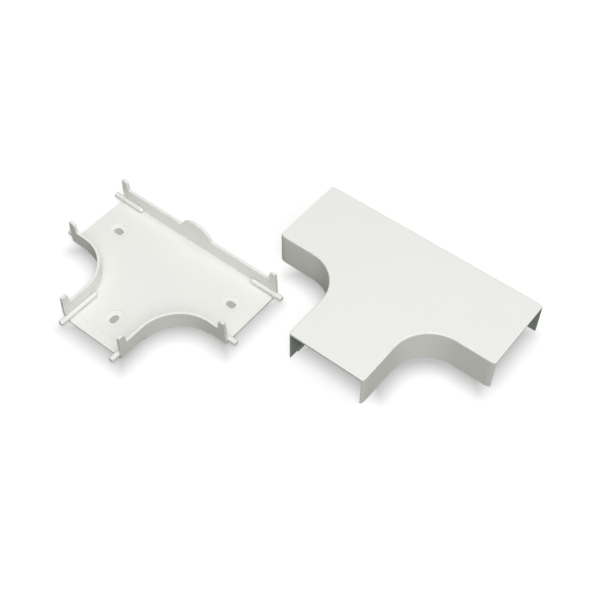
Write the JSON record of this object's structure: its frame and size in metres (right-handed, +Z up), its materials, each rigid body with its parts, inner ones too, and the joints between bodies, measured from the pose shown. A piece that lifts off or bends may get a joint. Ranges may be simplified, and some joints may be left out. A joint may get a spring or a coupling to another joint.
{
  "type": "trunking tee fitting",
  "caption": "Tee fitting for surface cable trunking: open base tray with round inner corners and alignment pins, and its clip-on cover lying beside it.",
  "frame": {"origin": "on the underside of the base tray, where the centre line of the run meets that of the branch", "axes": "+X along the run, towards the side where the cover lies; -Y along the branch, so +Y is the back wall; +Z up out of the tray"},
  "size_m": [0.2516, 0.1628, 0.022],
  "materials": {
    "tray_plastic": "satin",
    "cover_plastic": "satin"
  },
  "bodies": {
    "root": {"tee_base": "tray_plastic", "tee_cover": "cover_plastic"}
  },
  "joints": []
}
